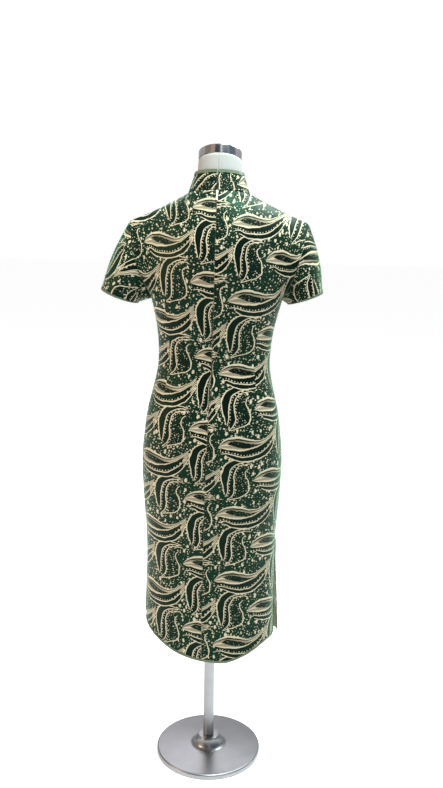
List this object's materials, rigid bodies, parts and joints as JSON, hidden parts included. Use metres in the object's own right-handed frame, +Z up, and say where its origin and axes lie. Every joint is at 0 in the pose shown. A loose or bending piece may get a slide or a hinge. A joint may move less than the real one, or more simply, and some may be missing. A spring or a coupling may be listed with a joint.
{
  "type": "cheongsam dress on a dress form",
  "caption": "Short-sleeved cheongsam with stand collar, back zip and side slits, worn by a limbless dress form on a round stand.",
  "frame": {"origin": "middle of the stand's underside, on the floor", "axes": "+Z up, the front of the dress faces -Y and its left side is at +X"},
  "size_m": [0.4888, 0.2554, 1.4301],
  "materials": {
    "printed_cloth": "dark green with a cream and gold print",
    "binding_satin": "grey-green satin",
    "facing_cloth": "light brown",
    "form_cover": "cream jersey",
    "polished_steel": "polished",
    "zip_enamel": "pale pink enamel"
  },
  "bodies": {
    "dress_on_form": {"back_left": "printed_cloth", "back_right": "printed_cloth", "front": "printed_cloth", "sleeve_left": "printed_cloth", "sleeve_right": "printed_cloth", "collar_left": "printed_cloth", "collar_right": "printed_cloth", "sleeve_binding_left": "binding_satin", "sleeve_binding_right": "binding_satin", "collar_binding_left": "binding_satin", "collar_binding_right": "binding_satin", "hem_binding_back_left": "binding_satin", "hem_binding_back_right": "binding_satin", "hem_binding_front": "binding_satin", "slit_binding_back_left": "binding_satin", "slit_binding_front_left": "binding_satin", "slit_binding_front_right": "binding_satin", "slit_binding_back_right": "binding_satin", "slit_facing_left": "facing_cloth", "slit_facing_right": "facing_cloth", "zip_slider": "zip_enamel", "collar_hook": "polished_steel", "form_torso": "form_cover", "form_neck_cap": "polished_steel", "stand_pole": "polished_steel", "stand_base": "polished_steel"},
    "zip_pull": {"zip_pull_tab": "zip_enamel"}
  },
  "joints": [
    {"name": "zip_pull_lift", "type": "hinge", "parent": "dress_on_form", "child": "zip_pull", "pos_m": [-0.007, 0.06043, 1.33181], "axis": [1, 0, 0], "range_deg": [0, 150]}
  ]
}
